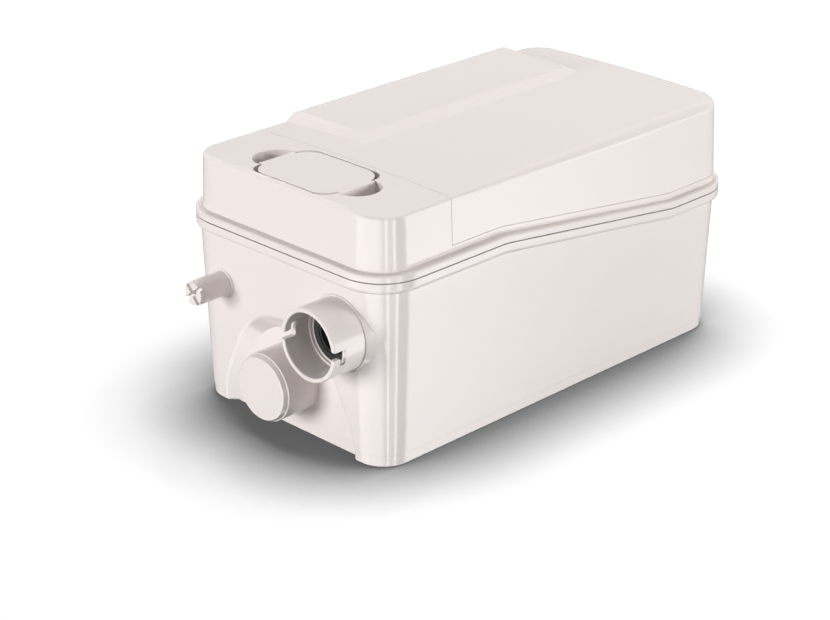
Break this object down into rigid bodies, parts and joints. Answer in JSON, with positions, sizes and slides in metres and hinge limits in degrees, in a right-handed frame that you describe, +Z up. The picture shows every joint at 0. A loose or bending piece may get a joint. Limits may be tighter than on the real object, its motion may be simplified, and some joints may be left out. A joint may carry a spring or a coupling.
{
  "type": "wastewater lifting station",
  "caption": "Compact floor-standing tank with pump, lift-off motor hood, vent hatch, bayonet discharge socket, closed inlet spigot and plugged drain stub.",
  "frame": {"origin": "on the floor, at the middle of the tank's base", "axes": "+Z up, -X out of the port end, +X towards the cable entry, Y across"},
  "size_m": [0.32, 0.166, 0.1522],
  "materials": {
    "tank": "satin off-white moulded plastic",
    "rim_gasket": "soft black foam rubber",
    "lid": "satin off-white moulded plastic",
    "lid_screws": "stainless",
    "motor_hood": "satin off-white moulded plastic",
    "hatch_cover": "satin off-white moulded plastic",
    "hatch_seal": "soft black foam rubber",
    "carbon_filter": "black cartridge",
    "outlet_seal": "ribbed black rubber",
    "valve_body": "grey moulded plastic",
    "valve_flap": "rubber-faced flap",
    "valve_hinge_pin": "stainless",
    "valve_screws": "stainless",
    "riser_hose": "black rubber hose",
    "hose_clamps": "stainless band",
    "drain_plug": "satin off-white moulded plastic",
    "drain_plug_o_ring": "black ring",
    "drain_dip_tube": "light grey tube",
    "volute": "black glass-filled plastic",
    "volute_screws": "stainless",
    "suction_strainer": "black plastic",
    "impeller": "dark blue-grey plastic",
    "impeller_nut": "brass",
    "shaft": "ground steel",
    "rotor_core": "laminated steel with cast rings",
    "shaft_seal": "black lip seal",
    "lower_end_shield": "die cast",
    "bearing_lower": "ground steel",
    "bearing_upper": "ground steel",
    "motor_can": "zinc-plated pressed steel",
    "stator_core": "laminated steel",
    "winding_lower": "varnished copper wire",
    "winding_upper": "varnished copper wire",
    "upper_end_shield": "die cast",
    "motor_screws": "stainless",
    "pressure_bell": "light grey plastic",
    "bell_nut": "black plastic",
    "sensor_hose": "soft dark tube",
    "pressure_sensor": "black housing",
    "circuit_board": "green board",
    "board_screws": "stainless",
    "relay": "blue housing",
    "transformer": "dark core and bobbin",
    "terminal_block": "green housing",
    "run_capacitor": "light grey sleeve",
    "capacitor_clips": "spring steel",
    "motor_lead": "dark sleeve",
    "capacitor_lead": "dark sleeve",
    "cable_grommet": "black bush"
  },
  "bodies": {
    "station": {"tank": "tank", "rim_gasket": "rim_gasket", "lid": "lid", "lid_screws": "lid_screws", "outlet_seal": "outlet_seal", "valve_body": "valve_body", "valve_hinge_pin": "valve_hinge_pin", "valve_screws": "valve_screws", "riser_hose": "riser_hose", "hose_clamps": "hose_clamps", "drain_dip_tube": "drain_dip_tube", "volute": "volute", "volute_screws": "volute_screws", "suction_strainer": "suction_strainer", "shaft_seal": "shaft_seal", "lower_end_shield": "lower_end_shield", "bearing_lower": "bearing_lower", "bearing_upper": "bearing_upper", "motor_can": "motor_can", "stator_core": "stator_core", "winding_lower": "winding_lower", "winding_upper": "winding_upper", "upper_end_shield": "upper_end_shield", "motor_screws": "motor_screws", "pressure_bell": "pressure_bell", "bell_nut": "bell_nut", "sensor_hose": "sensor_hose", "pressure_sensor": "pressure_sensor", "circuit_board": "circuit_board", "board_screws": "board_screws", "relay": "relay", "transformer": "transformer", "terminal_block": "terminal_block", "run_capacitor": "run_capacitor", "capacitor_clips": "capacitor_clips", "motor_lead": "motor_lead", "capacitor_lead": "capacitor_lead", "cable_grommet": "cable_grommet"},
    "hood": {"motor_hood": "motor_hood"},
    "hatch": {"hatch_cover": "hatch_cover", "hatch_seal": "hatch_seal", "carbon_filter": "carbon_filter"},
    "flap": {"valve_flap": "valve_flap"},
    "rotor": {"shaft": "shaft", "rotor_core": "rotor_core", "impeller": "impeller", "impeller_nut": "impeller_nut"},
    "plug": {"drain_plug": "drain_plug", "drain_plug_o_ring": "drain_plug_o_ring"}
  },
  "joints": [
    {"name": "hood_lift", "type": "slide", "parent": "station", "child": "hood", "axis": [0, 0, 1], "range_m": [0, 0.07]},
    {"name": "hatch_lift", "type": "slide", "parent": "station", "child": "hatch", "axis": [0, 0, 1], "range_m": [0, 0.042]},
    {"name": "flap_swing", "type": "hinge", "parent": "station", "child": "flap", "pos_m": [-0.11115, -0.0468, 0.0885], "axis": [0, 1, 0], "range_deg": [0, 55]},
    {"name": "rotor_spin", "type": "hinge", "parent": "station", "child": "rotor", "pos_m": [0.06, 0, 0.089], "axis": [0, 0, 1], "continuous": true},
    {"name": "plug_pull", "type": "slide", "parent": "station", "child": "plug", "axis": [-1, 0, 0], "range_m": [0, 0.024]}
  ]
}
